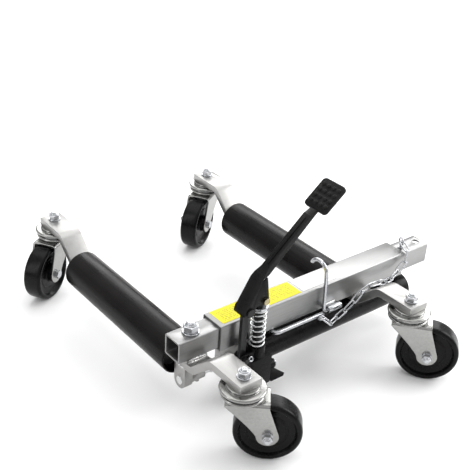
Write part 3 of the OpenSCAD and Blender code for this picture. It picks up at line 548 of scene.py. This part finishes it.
# Radii and heights in millimetres: the nylon ring's collar stands on the hexagon, rounded at its shoulder,
# and narrows to its mouth round the thread
CLAMP_NUT = Nut(8, 24, 12, 7.68, 15, 3, 64, 7.2, 10.32, 1.6, 0.9, 8.6, 0.7, 64)
KINGPIN_NUT = Nut(6, 19, 9, 5.8, 12, 2.5, 64, 5.4, 8.2, 1.4, 0.9, 6.4, 0.6, 56)
AXLE_NUT = Nut(5, 15, 7.5, 4.8, 9, 1.5, 56, 4.4, 6.5, 1.4, 0.4, 5.0, 0.6, 56)
BOLT_HEAD = 7
WASHER_EDGE = 0.4
COLLAR_SUNK, MOUTH_RISE = 0.5, 1.4


def bolt_end(nut, low, root, tip):
    """Washer, lock nut with its nylon ring, and the thread from root to tip, upwards from low."""
    flat_r, washer_top = nut.washer - WASHER_EDGE, low + nut.washer_height
    washer = lathe([(nut.bolt, low), (flat_r, low), (nut.washer, low + WASHER_EDGE),
                    (nut.washer, washer_top - WASHER_EDGE), (flat_r, washer_top), (nut.bolt, washer_top)],
                   nut.washer_steps)
    hexagon = moved(hex_nut(nut.flats, nut.height, nut.bore), Matrix.Translation((0, 0, washer_top)))
    top = washer_top + nut.height
    mouth_z = top + nut.shoulder + MOUTH_RISE
    collar = lathe([(nut.sleeve, top - COLLAR_SUNK), (nut.collar, top - COLLAR_SUNK)]
                   + arc(nut.collar - nut.rounding, top + nut.shoulder, nut.rounding, 0, 80)
                   + [(nut.mouth, mouth_z), (nut.sleeve, mouth_z - nut.inset)], nut.collar_steps)
    return joined(washer, hexagon, collar, thread(nut.bolt, root, tip))


clamp_low, clamp_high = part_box("clamp_nut")
stud_low, stud_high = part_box("clamp_stud")
clamp_axis = (clamp_low + clamp_high) / 2
clamp_end = bolt_end(CLAMP_NUT, clamp_low.z / MM, stud_low.z / MM, stud_high.z / MM)
piece("clamp_stud_and_nut", scaled(clamp_end), "slider", fastener_zinc, ("clamp_nut", "clamp_stud"),
      Matrix.Translation((clamp_axis.x, clamp_axis.y, 0)), sharp=30)

# ---------------------------------------------------------------- casters

# Millimetres, in the caster's own place: x from the kingpin towards the axle, z from the floor
CASTER_STEPS = 96
WHEEL_R, WHEEL_HALF, TREAD_ROUND = 56, 18.5, 6
FORK_TOP, FORK_HALF, FORK_SHEET, FORK_BEND = 118.5, 25.5, 4, 7
FORK_FRONT, FORK_REAR, FORK_END, FORK_EYE = -27, 44, 18, 18.5
FRONT_Z, REAR_Z = 111, 110.5
BAR_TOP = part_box("left_axle_bar")[1].z / MM


def wheel_shape():
    """A moulded wheel: rounded tread with its parting line, dished faces, a ring on each and a raised hub."""
    # radius and height of one half, from the hub out to the tread
    half = [(9.2, 20.0), (15.4, 20.0), (16.6, 19.2), (17.8, 13.4), (19.4, 12.0), (30.0, 11.3), (31.0, 12.0),
            (32.6, 12.0), (33.6, 11.2), (41.0, 11.0), (44.4, 12.0), (46.6, 16.6), (47.6, 17.9), (49.0, 18.5)]
    half += arc(WHEEL_R - TREAD_ROUND, WHEEL_HALF - TREAD_ROUND, TREAD_ROUND, 90, 0, 8)
    half += [(WHEEL_R, 3.0), (WHEEL_R - 0.05, 0.6)]
    profile = half + [(WHEEL_R, 0)] + [(r, -z) for r, z in reversed(half)]
    return lathe(profile, CASTER_STEPS)


def edge_between(start, axle, radius, side):
    """Where the line from start touches the axle's round end."""
    dx, dz = start[0] - axle[0], start[1] - axle[1]
    a = math.atan2(dz, dx) + side * math.acos(radius / math.hypot(dx, dz))
    return axle[0] + radius * math.cos(a), axle[1] + radius * math.sin(a)


def fork_shape(trail):
    """The outer face of a fork pressed from one sheet, as a grid across its bends."""
    axle = (trail, WHEEL_R)
    rear = (FORK_REAR, REAR_Z)
    touch_rear = edge_between(rear, axle, FORK_END, -1)
    # the front edge leaves the round end just below the axle's height
    waist = (axle[0] - FORK_EYE * 0.985, WHEEL_R - 1.5)

    def round_end(z, reach, outward):
        """The edge about the axle at this height, on the side that outward gives."""
        return axle[0] + outward * reach * math.sqrt(max(0.0, 1 - ((z - axle[1]) / FORK_END) ** 2))

    def front_edge(z):
        """Square below the bend, hollow along the leg, round about the axle."""
        if z >= FRONT_Z:
            return FORK_FRONT
        if z >= waist[1]:
            t = (z - waist[1]) / (FRONT_Z - waist[1])
            return waist[0] + (FORK_FRONT - waist[0]) * t**1.18
        return round_end(z, FORK_EYE, -1)

    def rear_edge(z):
        """Square below the bend, straight to where it touches the round end."""
        if z >= rear[1]:
            return rear[0]
        if z >= touch_rear[1]:
            return touch_rear[0] + (rear[0] - touch_rear[0]) * (z - touch_rear[1]) / (rear[1] - touch_rear[1])
        return round_end(z, FORK_END, 1)

    low = WHEEL_R - FORK_END + 0.15
    heights = [low + FORK_END * (1 - math.cos(math.pi * i / 16)) for i in range(9)]
    heights += [heights[-1] + (FORK_TOP - FORK_BEND - heights[-1]) * i / 10 for i in range(1, 11)]
    section = [(-FORK_HALF, z) for z in heights]
    section += [(-FORK_HALF + FORK_BEND * (1 - math.cos(a)), FORK_TOP - FORK_BEND + FORK_BEND * math.sin(a))
                for a in (math.radians(15 * i) for i in range(1, 7))]
    section += [(y, FORK_TOP) for y in (-12, -6, 0)]
    section += [(-y, z) for y, z in reversed(section[:-1])]
    steps = 14
    points = []
    for y, z in section:
        x0, x1 = front_edge(z), rear_edge(z)
        points += [(x0 + (x1 - x0) * k / steps, y, z) for k in range(steps + 1)]
    width = steps + 1
    faces = [(i * width + k, i * width + k + 1, (i + 1) * width + k + 1, (i + 1) * width + k)
             for i in range(len(section) - 1) for k in range(steps)]
    return points, faces


PIN_HOLE = 6.2  # radius of the kingpin's hole in the rings
# Radius, low, high and lip of the rolled rings, then foot, low, high, rim's centre and first angle of
# the ball rings
SWIVEL_RING, RACE_RING = (36, 118.3, 124.5, 2.9), (38.5, 128.9, 135.5, 3.1)
LOW_BALLS, HIGH_BALLS = (31.5, 124.0, 127.4, (30.5, 126.0), -40), (27.6, 135.0, 139.5, (25.8, 138.0), -20)
# Where the kingpin's head and its thread start, how far it stands over the plate, and the axle's bolt
# past the fork
KINGPIN_HEAD, KINGPIN_ROOT, KINGPIN_OUT = 107, 107.5, 16.5
AXLE_OUT = 13.9


def rolled_ring(radius, low, high, lip):
    """A pressed ring whose rim rolls over."""
    return lathe([(PIN_HOLE, high), (radius * 0.62, high), (radius * 0.70, high - 0.2)]
                 + arc(radius - lip, high - lip, lip, 90, -90, 8)
                 + [(radius - lip - 1.5, low), (PIN_HOLE, low)], CASTER_STEPS)


def ball_ring(foot, low, high, centre, start):
    """The raised ring over a row of balls, with a round rim."""
    return lathe([(PIN_HOLE, low), (foot, low)] + arc(*centre, 1.4, start, 90) + [(PIN_HOLE, high)],
                 CASTER_STEPS)


def bolt_head(flats, low):
    """A plain hexagon head, upwards from low."""
    return moved(hex_nut(flats, BOLT_HEAD, hole=0.5), Matrix.Translation((0, 0, low)))


for corner in ("near_left", "near_right", "far_left", "far_right"):
    turning = Vector(JOINTS[corner + "_caster_swivel"]["pos_m"])
    rolling = Vector(JOINTS[corner + "_wheel_spin"]["pos_m"])
    ahead = (rolling - turning) * Vector((1, 1, 0))
    trail = ahead.length
    ahead.normalize()
    aside = Vector((-ahead.y, ahead.x, 0))
    stand = Matrix(((ahead.x, aside.x, 0, turning.x), (ahead.y, aside.y, 0, turning.y),
                    (0, 0, 1, 0), (0, 0, 0, 1)))
    at_axle = stand @ Matrix.Translation((trail, 0, rolling.z)) @ TURN_TO_Y
    piece(corner + "_tyre", scaled(wheel_shape()), corner + "_wheel", wheel_black, (corner + "_wheel",),
          at_axle, sharp=28)

    fork = piece(corner + "_fork_sheet", scaled(fork_shape(trail / MM)), corner + "_swivel", caster_zinc,
                 (corner + "_fork",), stand, sharp=40)
    solid = fork.modifiers.new("sheet", "SOLIDIFY")
    solid.thickness, solid.offset, solid.use_even_offset = FORK_SHEET * MM, -1, True
    rim = fork.modifiers.new("rim", "BEVEL")
    rim.width, rim.segments, rim.limit_method, rim.angle_limit = 0.0009, 2, "ANGLE", math.radians(50)
    piece(corner + "_swivel_ring", scaled(rolled_ring(*SWIVEL_RING)), corner + "_swivel", caster_zinc, (),
          stand, sharp=40)
    piece(corner + "_ball_race", scaled(ball_ring(*LOW_BALLS)), corner + "_swivel", bush_steel, (),
          stand, sharp=40)

    # Axle bolt: chamfered head on one side, washer, lock nut and thread on the other
    shank = lathe([(0, -FORK_HALF), (AXLE_NUT.bolt, -FORK_HALF), (AXLE_NUT.bolt, FORK_HALF + 1),
                   (0, FORK_HALF + 1)], 40, False)
    turned = Matrix.Rotation(math.pi, 4, "X") @ Matrix.Translation((0, 0, FORK_HALF))
    nut_end = moved(bolt_end(AXLE_NUT, 0, 0, AXLE_OUT), turned)
    piece(corner + "_axle_bolt", scaled(joined(bolt_head(AXLE_NUT.flats, FORK_HALF), shank, nut_end)),
          corner + "_swivel", fastener_zinc, (corner + "_axle",), at_axle, sharp=30)

for side, body in (("left", "slider"), ("right", "beam")):
    races, pins = [], []
    for end in ("near_", "far_"):
        turning = Vector(JOINTS[end + side + "_caster_swivel"]["pos_m"])
        here = Matrix.Translation((turning.x / MM, turning.y / MM, 0))
        races.append(moved(joined(rolled_ring(*RACE_RING), ball_ring(*HIGH_BALLS)), here))
        nut_end = bolt_end(KINGPIN_NUT, BAR_TOP, KINGPIN_ROOT, BAR_TOP + KINGPIN_OUT)
        pins.append(moved(joined(nut_end, bolt_head(KINGPIN_NUT.flats, KINGPIN_HEAD)), here))
    piece(side + "_race_plates", scaled(joined(*races)), body, caster_zinc, (side + "_caster_races",),
          sharp=40)
    piece(side + "_kingpin_bolts", scaled(joined(*pins)), body, fastener_zinc, (side + "_kingpins",),
          sharp=30)

# ---------------------------------------------------------------- spring and chain

low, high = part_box("plunger_spring")
wire, turns, dead, turn_steps = 0.0017, 8, 0.8, 40  # the dead turns at both ends lie on each other
coil_r = (high.x - low.x) / 2 - wire
middle = (low + high) / 2
first, last = low.z + wire, high.z - wire
flat = 2.02 * wire
rise = (last - first - 2 * flat * dead) / (turns - 2 * dead)
path = []
for i in range(turns * turn_steps + 1):
    turn = i / turn_steps
    if turn < dead:
        z = first + flat * turn
    elif turn > turns - dead:
        z = last - flat * (turns - turn)
    else:
        z = first + flat * dead + rise * (turn - dead)
    a = 2 * math.pi * turn
    path.append((middle.x + coil_r * math.cos(a), middle.y + coil_r * math.sin(a), z))
spring = piece("pump_spring", tube(path, [wire] * len(path)), "beam", spring_steel, ("plunger_spring",),
               sharp=60)
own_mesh(spring)


def islands(mesh):
    """The point groups of a mesh's separate solids."""
    shaped = bmesh.new()
    shaped.from_mesh(mesh)
    bmesh.ops.remove_doubles(shaped, verts=shaped.verts, dist=MERGE_DISTANCE)
    seen, groups = set(), []
    for start in shaped.verts:
        if start in seen:
            continue
        group, front = [], [start]
        seen.add(start)
        while front:
            v = front.pop()
            group.append(v.co.copy())
            for e in v.link_edges:
                o = e.other_vert(v)
                if o not in seen:
                    seen.add(o)
                    front.append(o)
        groups.append(group)
    shaped.free()
    return groups


def link_frame(points):
    """Centre, long and broad direction of one chain link's solid, and its lengths along the two."""
    co = np.array([tuple(p) for p in points])
    pull = co - co.mean(0)
    values, vectors = np.linalg.eigh(pull.T @ pull)
    order = values.argsort()[::-1]
    along, broad = Vector(vectors[:, order[0]]), Vector(vectors[:, order[1]])
    if along.x < 0:
        along = -along
    centre, spans = Vector(), []
    for direction in (along, broad, along.cross(broad)):
        reach = [p.dot(direction) for p in points]
        centre += direction * ((max(reach) + min(reach)) / 2)
        spans.append(max(reach) - min(reach))
    return centre, along, broad, spans[:2]


def link_path(centre, along, broad, spans, radius):
    """The middle line of a link: two half circles, with the straight legs between them."""
    bow = spans[1] / 2 - radius
    straight = spans[0] / 2 - spans[1] / 2
    points = []
    for side in (1, -1):
        for i in range(13):
            a = math.radians(-90 + 15 * i)
            points.append(centre + along * side * (straight + bow * math.cos(a))
                          + broad * side * bow * math.sin(a))
    return points


WIRE = 1.5 * MM
SEAM_STEP, SEAM_SWELL = 0.0006, 1.1
links = sorted((link_frame(g) for g in islands(frame["nodes"]["chain"].data)), key=lambda f: f[0].x)
shapes = []
for centre, along, broad, spans in links:
    loop = link_path(centre, along, broad, spans, WIRE)
    # the butt weld in the middle of one leg
    seam = centre + broad * (spans[1] / 2 - WIRE)
    bead = [seam + along * s * SEAM_STEP for s in range(-3, 4)]
    swell = [WIRE * SEAM_SWELL * (1 + 0.07 * math.cos(math.pi * s / 3.5)) for s in range(-3, 4)]
    shapes.append(joined(tube(loop, [WIRE] * len(loop), True), tube(bead, swell)))
# The low links go from the beam to the slider and the high ones from there to the lock; this distance sets
# each piece's end next to the link where they part, but those ends and the second bodies are not used, and
# both pieces are left on no body
CARRIED = Vector((0.012, 0, 0))
half = len(shapes) * 7 // 12
ends = [links[0][0], links[half - 1][0], links[-1][0]]
for name, group, first_body, second_body, start, end in (
    ("chain_links_low", shapes[:half], "beam", "slider", ends[0], ends[1] - CARRIED),
    ("chain_links_high", shapes[half:], "slider", "lock", ends[1] + CARRIED, ends[2]),
):
    made = piece(name, joined(*group), first_body, fastener_zinc, ("chain",), sharp=60)
    world = made.matrix_world.copy()
    made.parent = None
    made.matrix_world = world
    del made["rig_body"]
    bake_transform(made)

# ---------------------------------------------------------------- floor, light and camera


def stage_mesh(name, size):
    """A square plate of twice the size on the ground, as part of the stage."""
    mesh = bpy.data.meshes.new(name)
    mesh.from_pydata([(-size, -size, 0), (size, -size, 0), (size, size, 0), (-size, size, 0)], [],
                     [(0, 1, 2, 3)])
    made = bpy.data.objects.new(name, mesh)
    bpy.context.scene.collection.objects.link(made)
    return made


floor = stage_mesh("floor", 30)
paper = bpy.data.materials.new("paper")
paper.use_nodes = True
shader = paper.node_tree.nodes["Principled BSDF"]
shader.inputs["Base Color"].default_value = (0.92, 0.92, 0.92, 1)
shader.inputs["Roughness"].default_value = 0.7
shader.inputs["Specular IOR Level"].default_value = 0.1
floor.data.materials.append(paper)

# name, place, target, width and height in metres, power in watts
SOFTBOXES = (
    ("overhead", (0.15, 0.45, 2.2), (0, 0, 0.1), (2.4, 2.0), 24),
    ("back_wall", (2.0, 2.0, 1.8), (0, 0, 0.12), (3.6, 1.3), 62),
    ("left_strip", (-1.9, 0.3, 1.25), (0, 0, 0.12), (0.45, 1.8), 7),
    ("right_wall", (2.2, -1.0, 1.5), (0, 0, 0.1), (1.8, 1.6), 54),
)
for name, place, target, size, power in SOFTBOXES:
    lamp = bpy.data.lights.new(name, "AREA")
    lamp.shape, lamp.size, lamp.size_y, lamp.energy = "RECTANGLE", size[0], size[1], power
    made = bpy.data.objects.new(name, lamp)
    made.location = place
    made.rotation_euler = (Vector(target) - Vector(place)).to_track_quat("-Z", "Y").to_euler()
    bpy.context.scene.collection.objects.link(made)

world = bpy.data.worlds.new("studio")
bpy.context.scene.world = world
world.use_nodes = True
sky = world.node_tree
direction = add(sky, "ShaderNodeSeparateXYZ", {"Vector": add(sky, "ShaderNodeTexCoord").outputs["Generated"]})
# The sky is dim at the horizon and brightest 30 to 44 degrees up, for the reflections on the zinc
fade = add(sky, "ShaderNodeValToRGB", {"Fac": direction.outputs["Z"]})
fade.color_ramp.elements[0].position, fade.color_ramp.elements[0].color = 0.0, (0.30, 0.30, 0.31, 1)
fade.color_ramp.elements[1].position, fade.color_ramp.elements[1].color = 1.0, (0.6, 0.6, 0.6, 1)
for height, tone in ((0.25, 0.55), (0.5, 0.9), (0.7, 0.9)):
    fade.color_ramp.elements.new(height).color = (tone, tone, tone, 1)
sky.links.new(fade.outputs["Color"], sky.nodes["Background"].inputs["Color"])
sky.nodes["Background"].inputs["Strength"].default_value = 1.0

# The camera as fitted to the photo: degrees, metres, millimetres of focal length, shares of the width
YAW, PITCH, ROLL = -38.3016, -32.0279, 2.6947
CAMERA_PLACE = (-0.94936, -1.07843, 1.00503)
LENS, SHIFT_X, SHIFT_Y = 67.455, 0.05999, 0.08473

yaw, pitch, roll = math.radians(YAW), math.radians(PITCH), math.radians(ROLL)
forward = Vector((-math.sin(yaw) * math.cos(pitch), math.cos(yaw) * math.cos(pitch), math.sin(pitch)))
right = Vector((math.cos(yaw), math.sin(yaw), 0))
up = right.cross(forward)
right, up = right * math.cos(roll) + up * math.sin(roll), up * math.cos(roll) - right * math.sin(roll)
camera = bpy.data.objects.new("camera", bpy.data.cameras.new("camera"))
bpy.context.scene.collection.objects.link(camera)
camera.matrix_world = (Matrix.Translation(CAMERA_PLACE)
                       @ Matrix((right, up, -forward)).transposed().to_4x4())
camera.data.sensor_width = 36
camera.data.lens, camera.data.shift_x, camera.data.shift_y = LENS, SHIFT_X, SHIFT_Y
camera.data.clip_start, camera.data.clip_end = 0.05, 100
bpy.context.scene.camera = camera
bpy.context.scene.view_settings.view_transform = "Standard"
bpy.context.scene.view_settings.look = "None"
